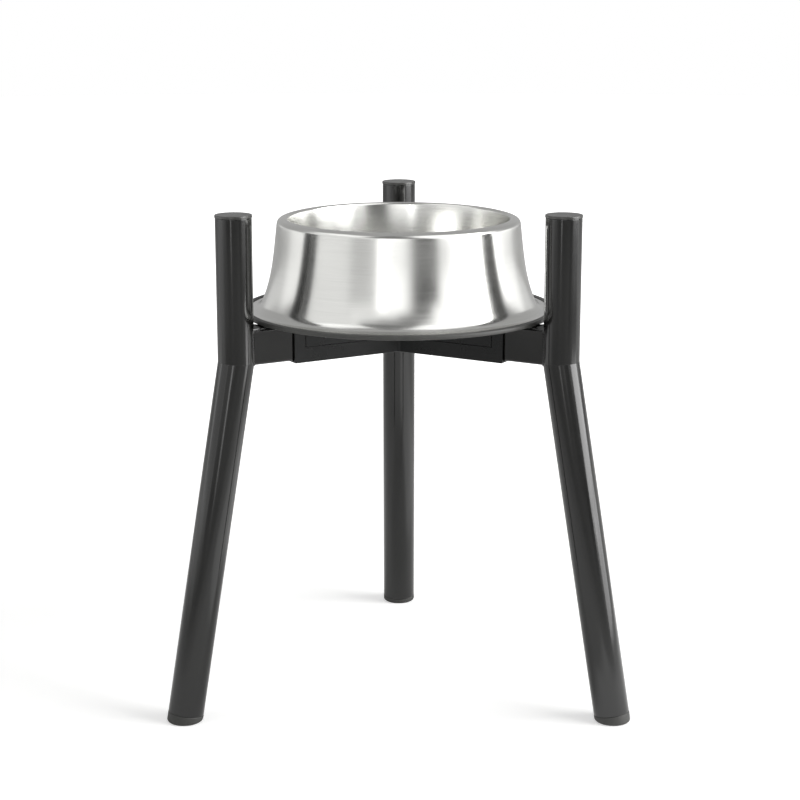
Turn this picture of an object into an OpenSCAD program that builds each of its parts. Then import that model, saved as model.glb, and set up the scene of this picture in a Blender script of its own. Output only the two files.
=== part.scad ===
// Raised dog feeder. Three splayed tube legs slide on flat arms in a clamped three-way hub,
// and a pressed steel bowl on a rubber base lifts off the hub.
// Millimetres, +Z up, with the origin on the floor under the axis of the hub.

/* [Stand] */
// Height above the floor of the seat that the bowl rests on
seat_h = 281; // [200:1:400]
// Height of the posts above the seat, with their caps
post_rise = 78.5; // [30:0.1:140]
// Outer diameter of the leg tubes
tube_d = 25.4; // [22:0.2:34]
// Wall of the leg tubes
tube_wall = 1.5; // [1:0.1:2.5]
// Lean of the lower legs from the vertical, in degrees
splay = 10.1; // [0:0.1:18]
// Height of the bend above the underside of the arms
bend_rise = 1.9; // [0:0.1:8]
// Gap at rest between each post and the rubber base of the bowl
rest_gap = 4.9; // [1:0.1:12]
// Outward travel of each leg from rest
out_travel = 22; // [8:1:30]

/* [Caps and feet] */
// Thickness of a post cap's flange
cap_t = 1.8; // [1.4:0.1:4]
// Radius of the cap's upper edge
cap_edge = 0.5; // [0.2:0.1:1.3]
// Reach of the cap's flange past the outside of the tube
cap_lip = 0.3; // [0:0.1:1.5]
// Length of the cap's stem in the tube
cap_stem = 12; // [6:1:24]
// Height of a foot below the end of its tube, along the leg
foot_h = 6; // [6:0.5:14]
// Radius of the foot's lower edge
foot_edge = 2; // [0.5:0.1:2.5]
// Length of the foot's stem in the tube
foot_stem = 16; // [8:1:30]
// Wall of the hollow stems
stem_wall = 2; // [1.2:0.1:4]
// Gap between a stem and its tube
stem_gap = 0.15; // [0.05:0.05:0.3]

/* [Arms] */
// Width of an arm
arm_w = 15; // [14:0.5:20]
// Height of an arm
arm_h = 25; // [20:0.5:32]
// Wall of an arm
arm_wall = 1.5; // [1:0.1:2]
// Radius of an arm's long edges
arm_edge = 1.5; // [0.4:0.1:2]
// Gap for the weld between an arm and its post
weld_gap = 0.1; // [0.05:0.05:0.3]
// Length of the glide plug in an arm's inner end
glide_len = 12; // [8:1:20]
// Thickness of the glide plug's flange
glide_t = 2; // [1:0.5:4]

/* [Hub] */
// Reach of the bowl's base past the ends of the sleeves
overhang = 23.5; // [12:0.5:36]
// Wall of the hub
hub_wall = 1.75; // [1.25:0.05:3]
// Gap beside an arm in its sleeve
slide_gap = 0.25; // [0.1:0.05:0.6]
// Length of the closed collar at each mouth
collar_len = 8.5; // [5:0.5:16]
// Depth of the cover's sides below the seat
cover_drop = 17.3; // [8:0.1:20]
// Clamping gap between the cover and the hub's base
clamp_gap = 0.5; // [0.2:0.05:1]
// Radius of the hub's long edges
hub_edge = 0.8; // [0.2:0.1:1.2]
// Radius of the corners at each mouth
mouth_edge = 1.2; // [0.2:0.1:2]
// Chamfer inside each mouth
mouth_chamfer = 0.6; // [0.2:0.1:1]
// Radius of the corner between two sleeves
crotch_r = 6; // [2:0.5:14]

/* [Clamp screws] */
// Thread diameter of a clamp screw
screw_d = 4; // [3:0.5:4.5]
// Diameter of the screw's head
head_d = 7; // [6:0.1:7.4]
// Height of the screw's head
head_h = 2.2; // [1.6:0.1:3]
// Depth of the head below the hub's underside
head_sink = 0.2; // [0:0.1:1]
// Gap round the screw's head
head_gap = 0.3; // [0.2:0.05:0.4]
// Width across flats of the socket in the head
socket_af = 2.5; // [1.5:0.1:3]
// Depth of the socket
socket_depth = 1.2; // [0.6:0.1:1.4]
// Diameter of the posts round the screws
boss_d = 9.4; // [8.6:0.1:10]
// Gap between a post and its slot in the arm
slot_gap = 0.3; // [0.2:0.05:0.6]
// Distance from the collar to the axis of the screw
screw_inset = 7.6; // [5.5:0.1:14]
// Floor of the hub above a screw's head
head_floor = 2.4; // [1.5:0.1:4]
// Outer diameter of a threaded insert
insert_d = 5.6; // [5:0.1:6.4]
// Length of a threaded insert
insert_len = 8; // [5:0.5:10]
// Length of the screw past its insert
screw_past = 1.5; // [0.5:0.5:4]
// Gap of the fits between screw, insert and post
fit_gap = 0.05; // [0.03:0.01:0.1]

/* [Bowl] */
// Outer diameter of the rubber base
base_d = 226; // [200:1:280]
// Height of the brim above the seat
bowl_h = 68.3; // [50:0.1:95]
// Thickness of the sheet
sheet = 0.8; // [0.5:0.1:1.2]
// Distance from the mouth's edge to the outside of the base
mouth_step = 33.5; // [28:0.5:44]
// Radius of the brim's inner bead
bead_r = 2.2; // [1.6:0.1:3]
// Slope of the brim, in degrees
brim_slope = 15; // [5:1:25]
// Flat width of the brim along its slope
brim_w = 2.5; // [1:0.1:6]
// Radius of the brim's outer edge
brim_r = 4; // [2:0.5:6]
// Lean of the skirt under the brim, in degrees
skirt_lean = 6.8; // [2:0.2:12]
// Lean of the skirt where the flare starts, in degrees
flare_lean = 24; // [16:1:34]
// Radius of the flare at the foot of the skirt
flare_r = 9; // [5:0.5:12]
// Flat width of the flange outside the flare
flange_w = 1.2; // [0.8:0.1:5]
// Lean of the inner wall, in degrees
wall_lean = 6; // [2:0.5:12]
// Radius between the inner wall and the floor
corner_r = 16; // [8:0.5:24]

/* [Rubber base] */
// Thickness of the base under the bowl
base_t = 1.8; // [1.5:0.1:4]
// Width of the lip outside the bowl's flange
lip_w = 4.8; // [3:0.1:8]
// Height of the lip above the seat
lip_h = 3; // [3:0.1:6]
// Radius of the lip's edges
lip_edge = 1; // [0.4:0.1:1.2]
// Gap between the lip and the bowl's flange
lip_gap = 0.3; // [0.1:0.05:0.6]
// Width of a grip groove
groove_w = 2.4; // [1:0.1:4]
// Depth of a grip groove
groove_depth = 0.7; // [0.3:0.1:1]
// Number of grip grooves
groove_count = 5; // [1:1:8]

/* [Hidden] */
$fn = 96;
// Legs by number and the direction of each from the hub
left = 0;
right = 1;
back = 2;
legs = [left, right, back];
leg_az = [210, 330, 90];
half_turn = 180 / len(legs);
// Overrun of a cut past the face that it opens
past = 1;
// Step along the arcs of the bowl's section, in degrees
arc_step = 4;
// Number of steps along the skirt
skirt_steps = 18;

tube_r = tube_d / 2;
bore_r = tube_r - tube_wall;
stem_r = bore_r - stem_gap;
cap_r = tube_r + cap_lip;
base_r = base_d / 2;
post_face = base_r + rest_gap;
post_r = post_face + tube_r;
post_top = seat_h + post_rise;

hub_w = arm_w + 2 * slide_gap + 2 * hub_wall;
hub_z = seat_h - 2 * hub_wall - arm_h;
hub_reach = base_r - overhang;
arm_z = hub_z + hub_wall;
arm_top = arm_z + arm_h;
cover_s = hub_reach - collar_len;
part_z = seat_h - cover_drop - clamp_gap;

bend_z = arm_z + bend_rise;
leg_len = bend_z / cos(splay);
foot_x = post_r + (bend_z - foot_edge) * tan(splay);

screw_s = cover_s - screw_inset;
slot_r = boss_d / 2 + slot_gap;
in_travel = overhang + rest_gap;
slot_in = screw_s - out_travel;
slot_out = screw_s + in_travel;
arm_in = slot_in - slot_r - glide_len;
head_seat = hub_z + head_sink + head_h;
pad_top = head_seat + head_floor;
boss_z = pad_top + clamp_gap;
screw_top = boss_z + insert_len + screw_past;

flange_r = base_r - lip_w;
mouth_r = base_r - mouth_step;
bowl_z = seat_h + base_t;
rim_z = seat_h + bowl_h;
floor_z = bowl_z + sheet;
wall_turn = 90 - wall_lean;
wall_rise = rim_z - floor_z - (corner_r + bead_r) * (1 - cos(wall_turn));
wall_len = wall_rise / sin(wall_turn);
floor_r = mouth_r - corner_r * sin(wall_turn) - wall_len * cos(wall_turn);
basin_runs = [
    [floor_r, 0],
    [corner_r, wall_turn],
    [wall_len, 0],
    [bead_r, -wall_turn - brim_slope],
    [brim_w, 0],
    [brim_r, brim_slope + skirt_lean - 90],
];
basin = concat([[0, floor_z, 0]], runs_path([0, floor_z, 0], basin_runs, 0));
skirt_top = basin[len(basin) - 1];
flare_w = flare_r * cos(flare_lean);
flare_h = flare_r * (1 - sin(flare_lean));
flare_top = [flange_r - flange_w - flare_w, floor_z + flare_h, flare_lean - 90];
skirt = [for (k = [1:skirt_steps]) hermite(skirt_top, flare_top, k / skirt_steps)];
foot_runs = [[flare_r, 90 - flare_lean], [flange_w, 0]];
bowl_path = concat(basin, skirt, runs_path(flare_top, foot_runs, 0));
groove_pitch = hub_reach / (groove_count + 1);

// Point of a path: radius, height and heading. A run is a straight of a length with no turn,
// or an arc of a radius with a turn in degrees, to the left if it is positive.
function arc_point(p, r, turn) =
    let (s = sign(turn), h = p[2] + turn)
    [p[0] + s * r * (sin(h) - sin(p[2])), p[1] - s * r * (cos(h) - cos(p[2])), h];
function line_point(p, l) = [p[0] + l * cos(p[2]), p[1] + l * sin(p[2]), p[2]];
function run_points(p, run) =
    let (n = ceil(abs(run[1]) / arc_step))
    n == 0 ? [line_point(p, run[0])] : [for (k = [1:n]) arc_point(p, run[0], run[1] * k / n)];
function runs_path(p, runs, i) =
    i == len(runs) ? [] :
    let (pts = run_points(p, runs[i]))
    concat(pts, runs_path(pts[len(pts) - 1], runs, i + 1));
// Point at t on the smooth curve that leaves a and meets b along their headings
function hermite(a, b, t) =
    let (l = norm([b[0] - a[0], b[1] - a[1]]))
    let (ta = l * [cos(a[2]), sin(a[2])], tb = l * [cos(b[2]), sin(b[2])])
    let (pa = [a[0], a[1]], pb = [b[0], b[1]], u = 1 - t)
    let (q = (1 + 2 * t) * u * u * pa + t * u * u * ta + t * t * (3 - 2 * t) * pb - t * t * u * tb)
    let (d = 6 * t * u * (pb - pa) + u * (1 - 3 * t) * ta + t * (3 * t - 2) * tb)
    [q[0], q[1], atan2(d[1], d[0])];

// Places a leg's pieces, drawn along +X, in the direction of that leg
module at_leg(leg) {
    rotate([0, 0, leg_az[leg]])
        children();
}

// Frame at the bend of a leg, leaning outwards by an angle
module at_bend(lean) {
    translate([post_r, 0, bend_z])
        rotate([0, -lean, 0])
            children();
}

module round_rect(size, r) {
    translate([r, 0])
        square([size.x - 2 * r, size.y]);
    translate([0, r])
        square([size.x, size.y - 2 * r]);
    for (x = [r, size.x - r], y = [r, size.y - r])
        translate([x, y])
            circle(r);
}

// Bar along +X with a rounded section, centred sideways
module bar(x0, x1, w, z, h, r) {
    translate([x0, 0, 0])
        rotate([90, 0, 90])
            linear_extrude(x1 - x0)
                translate([-w / 2, z])
                    round_rect([w, h], r);
}

module tube(h) {
    difference() {
        cylinder(r = tube_r, h = h);
        translate([0, 0, -past])
            cylinder(r = bore_r, h = h + 2 * past);
    }
}

// Outside of one sleeve, with its mouth's corners rounded as seen from the side
module sleeve_outline() {
    intersection() {
        bar(-hub_w / 2, hub_reach, hub_w, hub_z, seat_h - hub_z, hub_edge);
        translate([0, hub_w / 2, 0])
            rotate([90, 0, 0])
                linear_extrude(hub_w)
                    translate([-hub_w / 2, hub_z])
                        round_rect([hub_reach + hub_w / 2, seat_h - hub_z], mouth_edge);
    }
}

// Rounded web that fills the corner between two sleeves, drawn along +X, and that runs
// a little way into their walls
module crotch_web() {
    reach = (hub_w / 2 - hub_wall / 6 + crotch_r) / sin(half_turn);
    side = reach * cos(half_turn) * [cos(half_turn), sin(half_turn)];
    translate([0, 0, hub_z + hub_edge / 2])
        linear_extrude(seat_h - hub_z - hub_edge)
            difference() {
                polygon([[0, 0], [side.x, -side.y], [reach, 0], side]);
                translate([reach, 0])
                    circle(crotch_r);
            }
}

module hub_outline() {
    for (leg = legs) {
        at_leg(leg)
            sleeve_outline();
        rotate([0, 0, leg_az[leg] + half_turn])
            crotch_web();
    }
}

// Straight channels that the arms slide in, up to a height
module channels(top) {
    w = arm_w + 2 * slide_gap;
    for (leg = legs)
        at_leg(leg)
            translate([0, -w / 2, arm_z])
                cube([hub_reach + past, w, top - arm_z]);
}

// Sloped edge inside the mouth of one sleeve
module mouth_flare() {
    w = arm_w + 2 * slide_gap;
    h = arm_h + slide_gap;
    c = mouth_chamfer;
    x = hub_reach - c;
    for (side = [-1, 1])
        translate([x, side * w / 2, arm_z])
            linear_extrude(h)
                polygon([[0, 0], [2 * c, side * 2 * c], [2 * c, 0]]);
    for (edge = [[arm_z, -1], [arm_z + h, 1]])
        translate([x, w / 2, edge[0]])
            rotate([90, 0, 0])
                linear_extrude(w)
                    polygon([[0, 0], [2 * c, edge[1] * 2 * c], [2 * c, 0]]);
}

// Space from a height up and as far as a distance along each sleeve
module cover_space(z, reach) {
    for (leg = legs)
        at_leg(leg)
            translate([-hub_w, -hub_w, z])
                cube([reach + hub_w, 2 * hub_w, seat_h + past - z]);
}

module hub_base() {
    color("#2f302f")
        difference() {
            union() {
                difference() {
                    hub_outline();
                    channels(arm_top + slide_gap);
                    cover_space(part_z, cover_s);
                    for (leg = legs)
                        at_leg(leg)
                            mouth_flare();
                }
                for (leg = legs)
                    at_leg(leg)
                        translate([screw_s, 0, hub_z + hub_wall / 2])
                            cylinder(d = boss_d, h = pad_top - hub_z - hub_wall / 2);
            }
            for (leg = legs)
                at_leg(leg)
                    translate([screw_s, 0, hub_z - past]) {
                        cylinder(r = head_d / 2 + head_gap, h = head_seat - hub_z + past);
                        cylinder(r = screw_d / 2 + fit_gap, h = pad_top - hub_z + 2 * past);
                    }
        }
}

module hub_cover() {
    color("#2f302f")
        difference() {
            union() {
                difference() {
                    intersection() {
                        hub_outline();
                        cover_space(part_z + clamp_gap, cover_s - clamp_gap);
                    }
                    channels(arm_top);
                }
                for (leg = legs)
                    at_leg(leg)
                        translate([screw_s, 0, boss_z])
                            cylinder(d = boss_d, h = arm_top + hub_wall / 2 - boss_z);
            }
            for (leg = legs)
                at_leg(leg)
                    translate([screw_s, 0, boss_z - past]) {
                        cylinder(r = insert_d / 2 + fit_gap, h = insert_len + past);
                        cylinder(r = screw_d / 2 + slot_gap, h = screw_top - boss_z + 2 * past);
                    }
        }
}

module hub_screws() {
    color("#8a8d90")
        for (leg = legs)
            at_leg(leg)
                translate([screw_s, 0, 0])
                    difference() {
                        union() {
                            translate([0, 0, head_seat - head_h])
                                cylinder(d = head_d, h = head_h);
                            translate([0, 0, head_seat - head_h / 2])
                                cylinder(d = screw_d, h = screw_top - head_seat + head_h / 2);
                        }
                        translate([0, 0, head_seat - head_h - past])
                            cylinder(r = socket_af / 2 / cos(30), h = socket_depth + past, $fn = 6);
                    }
}

module hub_inserts() {
    color("#b08d4a")
        for (leg = legs)
            at_leg(leg)
                translate([screw_s, 0, boss_z])
                    difference() {
                        cylinder(d = insert_d, h = insert_len);
                        translate([0, 0, -past])
                            cylinder(r = screw_d / 2 + fit_gap, h = insert_len + 2 * past);
                    }
}

// Slot through an arm's floor and roof for the post of the clamp screw
module clamp_slot() {
    h = arm_h + 2 * past;
    translate([0, 0, arm_z - past]) {
        for (x = [slot_in, slot_out])
            translate([x, 0, 0])
                cylinder(r = slot_r, h = h);
        translate([slot_in, -slot_r, 0])
            cube([slot_out - slot_in, 2 * slot_r, h]);
    }
}

module arm(leg) {
    x = arm_in + glide_t;
    color("#323230")
        at_leg(leg)
            difference() {
                bar(x, post_r, arm_w, arm_z, arm_h, arm_edge);
                translate([x - past, arm_wall - arm_w / 2, arm_z + arm_wall])
                    cube([post_r - x + past, arm_w - 2 * arm_wall, arm_h - 2 * arm_wall]);
                clamp_slot();
                translate([post_r, 0, arm_z - past])
                    cylinder(r = tube_r + weld_gap, h = arm_h + 2 * past);
            }
}

module glide(leg) {
    inset = arm_wall + stem_gap;
    color("#3a3a38")
        at_leg(leg) {
            bar(arm_in, arm_in + glide_t, arm_w, arm_z, arm_h, arm_edge);
            translate([arm_in + glide_t / 2, inset - arm_w / 2, arm_z + inset])
                cube([glide_len - glide_t / 2, arm_w - 2 * inset, arm_h - 2 * inset]);
        }
}

module post(leg) {
    color("#2e2e2c")
        at_leg(leg)
            difference() {
                translate([post_r, 0, bend_z - tube_r])
                    tube(post_top - cap_t - bend_z + tube_r);
                at_bend(splay / 2)
                    translate([-tube_d, -tube_d, -tube_d])
                        cube([2 * tube_d, 2 * tube_d, tube_d]);
            }
}

module leg(leg) {
    color("#2e2e2c")
        at_leg(leg)
            difference() {
                at_bend(splay)
                    translate([0, 0, foot_h - leg_len])
                        tube(leg_len - foot_h + tube_r);
                at_bend(splay / 2)
                    translate([-tube_d, -tube_d, 0])
                        cube([2 * tube_d, 2 * tube_d, tube_d]);
            }
}

module cap(leg) {
    color("#55534f")
        at_leg(leg)
            translate([post_r, 0, post_top - cap_t])
                rotate_extrude() {
                    square([cap_r - cap_edge, cap_t]);
                    square([cap_r, cap_t - cap_edge]);
                    translate([cap_r - cap_edge, cap_t - cap_edge])
                        intersection() {
                            circle(cap_edge);
                            square(cap_edge);
                        }
                    translate([stem_r - stem_wall, -cap_stem])
                        square([stem_wall, cap_stem + cap_t / 2]);
                }
}

// Foot of a leaning leg, cut level with the floor and rounded at its lower edge
module foot(leg) {
    color("#454543")
        at_leg(leg) {
            intersection() {
                at_bend(splay)
                    translate([0, 0, -leg_len - tube_r])
                        cylinder(r = tube_r, h = foot_h + tube_r);
                translate([foot_x, 0, 0])
                    rotate_extrude() {
                        square([tube_r - foot_edge, tube_d]);
                        translate([tube_r - foot_edge, foot_edge])
                            circle(foot_edge);
                        polygon([
                            [0, foot_edge],
                            [tube_r, foot_edge],
                            [tube_d, foot_edge + tube_r],
                            [tube_d, tube_d],
                            [0, tube_d],
                        ]);
                    }
            }
            at_bend(splay)
                translate([0, 0, foot_h - leg_len - stem_wall / 2])
                    difference() {
                        cylinder(r = stem_r, h = foot_stem + stem_wall / 2);
                        translate([0, 0, stem_wall])
                            cylinder(r = stem_r - stem_wall, h = foot_stem);
                    }
        }
}

// Bowl turned from one sheet: floor, inner wall, brim, skirt and flange
module bowl() {
    top = [for (p = bowl_path) [p[0], p[1]]];
    under = [for (p = bowl_path) [p[0] + sheet * sin(p[2]), p[1] - sheet * cos(p[2])]];
    color("#c9cac8")
        rotate_extrude()
            polygon(concat(top, [for (k = [len(under) - 1:-1:0]) under[k]]));
}

module bowl_base() {
    lip_in = flange_r + lip_gap;
    color("#4c4c4a")
        difference() {
            translate([0, 0, seat_h])
                rotate_extrude() {
                    square([base_r - lip_edge - lip_gap, base_t]);
                    translate([lip_in, 0])
                        square([base_r - lip_edge - lip_in, lip_h]);
                    translate([lip_in, lip_edge])
                        square([base_r - lip_in, lip_h - 2 * lip_edge]);
                    for (z = [lip_edge, lip_h - lip_edge])
                        translate([base_r - lip_edge, z])
                            circle(lip_edge);
                }
            for (k = [1:groove_count])
                translate([0, 0, seat_h - past])
                    difference() {
                        cylinder(r = k * groove_pitch + groove_w, h = past + groove_depth);
                        translate([0, 0, -past])
                            cylinder(r = k * groove_pitch, h = groove_depth + 3 * past);
                    }
        }
}

hub_base();
hub_cover();
hub_screws();
hub_inserts();
arm(left);  // arm_left
arm(right);  // arm_right
arm(back);  // arm_back
glide(left);  // glide_left
glide(right);  // glide_right
glide(back);  // glide_back
post(left);  // post_left
post(right);  // post_right
post(back);  // post_back
leg(left);  // leg_left
leg(right);  // leg_right
leg(back);  // leg_back
cap(left);  // cap_left
cap(right);  // cap_right
cap(back);  // cap_back
foot(left);  // foot_left
foot(right);  // foot_right
foot(back);  // foot_back
bowl();
bowl_base();
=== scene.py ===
"""Looks for a raised dog feeder: three splayed tube legs, a three-way hub and a pressed steel bowl.

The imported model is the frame, in metres with +Z up. Pieces whose surface has to be smoother or
fuller than their solid are worked out here as grids of points, and every surface gets its finish.
"""

import math
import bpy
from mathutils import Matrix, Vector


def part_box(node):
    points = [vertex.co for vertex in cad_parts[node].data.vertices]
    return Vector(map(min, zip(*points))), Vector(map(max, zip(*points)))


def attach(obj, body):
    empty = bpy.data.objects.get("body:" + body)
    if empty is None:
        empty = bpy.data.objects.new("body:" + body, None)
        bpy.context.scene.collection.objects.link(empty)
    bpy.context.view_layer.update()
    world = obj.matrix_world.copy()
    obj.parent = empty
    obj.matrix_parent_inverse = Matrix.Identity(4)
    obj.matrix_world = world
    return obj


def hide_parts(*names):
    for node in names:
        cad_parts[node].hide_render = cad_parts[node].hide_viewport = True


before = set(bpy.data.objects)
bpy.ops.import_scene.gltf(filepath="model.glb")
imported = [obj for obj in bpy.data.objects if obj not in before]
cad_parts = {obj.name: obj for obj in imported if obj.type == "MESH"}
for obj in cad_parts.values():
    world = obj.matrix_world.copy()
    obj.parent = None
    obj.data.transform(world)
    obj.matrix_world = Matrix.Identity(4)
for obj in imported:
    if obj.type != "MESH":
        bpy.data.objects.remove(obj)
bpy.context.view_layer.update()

from types import SimpleNamespace

import bpy
import numpy as np
from bpy.props import FloatProperty, FloatVectorProperty, IntProperty, PointerProperty
from bpy.types import Operator, Panel, PropertyGroup

bl_info = {
    "name": "Raised dog feeder",
    "version": (1, 0, 0),
    "blender": (4, 5, 0),
    "location": "3D View > Sidebar > Feeder",
    "description": "Builds the looks of a raised dog feeder around its solids",
    "category": "Object",
}

MM = 0.001
# Azimuth of each leg about the upright axis, in degrees
LEGS = {"left": 210.0, "right": 330.0, "back": 90.0}
# Faces that meet at more than this many degrees keep a sharp edge
SHARP = 40.0
QUARTER = math.pi / 2
WHITE = (1.0, 1.0, 1.0, 1.0)


# Values read from the solids, in millimetres
def reach(node, corner, axis):
    """One coordinate of a node's lowest (0) or highest (1) corner, in millimetres."""
    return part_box(node)[corner][axis] / MM


SEAT = reach("bowl_base", 0, 2)
BASE_R = reach("bowl_base", 1, 0)
LIP_TOP = reach("bowl_base", 1, 2)
BOWL_LOW = reach("bowl", 0, 2)
BRIM_TOP = reach("bowl", 1, 2)
FLANGE_R = reach("bowl", 1, 0)
TUBE_R = reach("post_back", 1, 0)
POST_AXIS = (reach("post_back", 0, 1) + reach("post_back", 1, 1)) / 2
POST_TOP = reach("cap_back", 1, 2)
TUBE_TOP = reach("post_back", 1, 2)
ARM_LOW = reach("arm_back", 0, 2)
ARM_TOP = reach("arm_back", 1, 2)
ARM_HALF = reach("arm_back", 1, 0)
HUB_REACH = reach("hub_base", 1, 1)
SCREW_LOW = reach("hub_screws", 0, 2)
SCREW_TOP = reach("hub_screws", 1, 2)


def size(label, value, text):
    """A length of the model, given in millimetres and kept in metres."""
    return FloatProperty(name=label, description=text, default=value * MM, min=0.0,
                         unit="LENGTH", precision=5)


def angle(label, value, text):
    """An angle of the model, given in degrees."""
    return FloatProperty(name=label, description=text, default=math.radians(value),
                         subtype="ANGLE", unit="ROTATION")


def linear(code):
    """Scene-linear red, green and blue of an sRGB hex colour."""
    v = np.array([int(code[k:k + 2], 16) for k in (1, 3, 5)]) / 255
    return tuple(np.where(v <= 0.04045, v / 12.92, ((v + 0.055) / 1.055) ** 2.4))


def colour(label, code, text):
    """A colour of the model, given as sRGB hex and kept scene-linear."""
    return FloatVectorProperty(name=label, description=text, default=linear(code), size=3,
                               min=0.0, max=1.0, subtype="COLOR")


class FeederTubes(PropertyGroup):
    """Sizes of the leg tubes, their caps and their feet"""
    wall: size("Tube wall", 1.5, "Wall of the leg tubes")
    splay: angle("Splay", 10.1, "Lean of the lower legs from the vertical")
    bend: size("Bend height", ARM_LOW + 1.9, "Height of the bend above the floor")
    tube_edge: size("Tube edge", 0.48, "Rounding of the sawn tube ends under the coat")
    mitre_edge: size("Mitre edge", 0.1, "Rounding of the tube ends that are welded at the bend")
    cap_edge: size("Cap edge", 0.5, "Rounding of a cap's upper edge")
    cap_lip: size("Cap lip", 0.3, "Reach of a cap past the outside of its tube")
    cap_stem: size("Cap stem", 12.0, "Length of a cap's stem in the tube")
    foot: size("Foot height", 6.0, "Height of a foot below the end of its tube")
    foot_edge: size("Foot edge", 2.0, "Rounding of a foot's lower edge")
    foot_seam: size("Foot seam", 0.7, "Rounding of a foot's shoulder, which shows as a dark line")
    foot_stem: size("Foot stem", 16.0, "Length of a foot's stem in the tube")
    stem_wall: size("Stem wall", 2.0, "Wall of the hollow stems")
    stem_gap: size("Stem gap", 0.15, "Gap between a stem and its tube")
    tread: size("Tread depth", 0.6, "Depth of the grip rings under a foot")
    seam: size("Seam edge", 0.3, "Rounding at the seam of two pieces")
    arm_edge: size("Arm edge", 1.5, "Rounding of an arm's long edges")
    weld: size("Weld", 0.8, "Leg of the weld between an arm and its post")
    weld_top: size("Weld top", 0.6, "How much higher the weld is on top of an arm")
    weld_run: size("Weld run", 8.5, "How much further the weld runs along the top of an arm")
    ripple: size("Weld ripple", 1.9, "Distance between the ripples of a weld")
    sides: IntProperty(name="Sides", description="Number of points round a tube",
                       default=160, min=24)


class FeederBowl(PropertyGroup):
    """Sizes of the bowl and its rubber base"""
    sheet: size("Sheet", 0.8, "Thickness of the bowl's sheet")
    mouth: size("Mouth radius", BASE_R - 33.5, "Radius of the bowl's mouth")
    bead: size("Bead radius", 2.2, "Radius of the brim's inner bead")
    brim: size("Brim width", 2.5, "Width of the brim along its slope")
    brim_slope: angle("Brim slope", 15.0, "Slope of the brim")
    brim_edge: size("Brim edge", 4.0, "Radius of the brim's outer edge")
    skirt_lean: angle("Skirt lean", 6.8, "Lean of the skirt under the brim")
    flare_lean: angle("Flare lean", 24.0, "Lean of the skirt where the flare starts")
    flare: size("Flare radius", 9.0, "Radius of the flare at the foot of the skirt")
    flange: size("Flange width", 1.2, "Width of the flange outside the flare")
    wall_lean: angle("Wall lean", 6.0, "Lean of the inner wall")
    corner: size("Corner radius", 16.0, "Radius between the inner wall and the floor")
    lip_gap: size("Lip gap", 0.3, "Gap between the rubber lip and the flange")
    lip_edge: size("Lip edge", 1.0, "Rounding of the rubber lip")
    groove: size("Groove width", 2.4, "Width of a grip groove")
    groove_depth: size("Groove depth", 0.7, "Depth of a grip groove")
    grooves: IntProperty(name="Grooves", description="Number of grip grooves", default=5, min=1)
    sides: IntProperty(name="Sides", description="Number of points round the bowl",
                       default=288, min=48)


class FeederFasteners(PropertyGroup):
    """Sizes of the clamp screws"""
    axis: size("Screw axis", 73.4, "Distance of a clamp screw from the middle of the hub")
    thread: size("Thread", 4.0, "Thread diameter")
    pitch: size("Pitch", 0.7, "Pitch of the thread")
    thread_depth: size("Thread depth", 0.4, "Depth of the thread")
    head: size("Head", 7.0, "Diameter of the head")
    head_height: size("Head height", 2.2, "Height of the head")
    head_edge: size("Head edge", 0.35, "Rounding of the head's edge")
    socket: size("Socket", 2.5, "Width of the socket across flats")
    socket_depth: size("Socket depth", 1.2, "Depth of the socket")


class FeederColours(PropertyGroup):
    """Colours of the finishes"""
    coat: colour("Powder coat", "#111110", "Black powder coat on the tubes and arms")
    nylon: colour("Nylon", "#141515", "Black nylon of the hub")
    acetal: colour("Acetal", "#1b1b1b", "Black acetal of the glides")
    cap: colour("Polypropylene", "#2c2b29", "Black polypropylene of the caps")
    foot: colour("Foot rubber", "#2c2c2a", "Black rubber of the feet")
    base: colour("Base rubber", "#3a3a38", "Dark grey rubber under the bowl")
    steel: colour("Stainless steel", "#d3d3d0", "Stainless steel of the bowl")
    zinc: colour("Zinc plate", "#b9bcbf", "Zinc plate of the screws")
    brass: colour("Brass", "#c8a45c", "Brass of the threaded inserts")


class FeederStage(PropertyGroup):
    """Camera, lamps and floor"""
    eye: FloatVectorProperty(name="Eye", description="Where the camera stands", size=3,
                             default=(0.00093, -1.3813, 0.5368), subtype="TRANSLATION",
                             unit="LENGTH")
    pitch: angle("Pitch", 13.15, "How far the camera looks down")
    lens: FloatProperty(name="Lens", description="Focal length of the camera", default=87.05,
                        unit="CAMERA")
    floor: colour("Floor", "#f2f2f1", "Colour of the floor")
    floor_reach: size("Floor radius", 6000.0, "Radius of the floor")
    fill: FloatProperty(name="Fill", description="Level of the soft light all round",
                        default=0.35, min=0.0)
    lift: FloatProperty(name="Lift", description="Brightness added to the floor near the stand",
                        default=0.43, min=0.0)


# Finishes


def per_mm(wavelength):
    """Scale of a texture whose pattern repeats at about this many millimetres."""
    return 1 / (wavelength * MM)


def add(tree, kind, inputs=(), **settings):
    """Adds a node: settings are its own fields, and inputs are values or sockets by name."""
    node = tree.nodes.new(kind)
    for key, value in settings.items():
        setattr(node, key, value)
    for key, value in dict(inputs).items():
        if isinstance(value, bpy.types.NodeSocket):
            tree.links.new(value, node.inputs[key])
        else:
            node.inputs[key].default_value = value
    return node


def blank(name, **constants):
    """A new material with its shader's constant values set, its node tree and its shader."""
    material = bpy.data.materials.new(name)
    material.use_nodes = True
    shader = material.node_tree.nodes["Principled BSDF"]
    for key, value in constants.items():
        shader.inputs[key.replace("_", " ")].default_value = value
    return material, material.node_tree, shader


# Values between which a noise texture mostly stays
NOISE = (0.3, 0.7)


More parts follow.
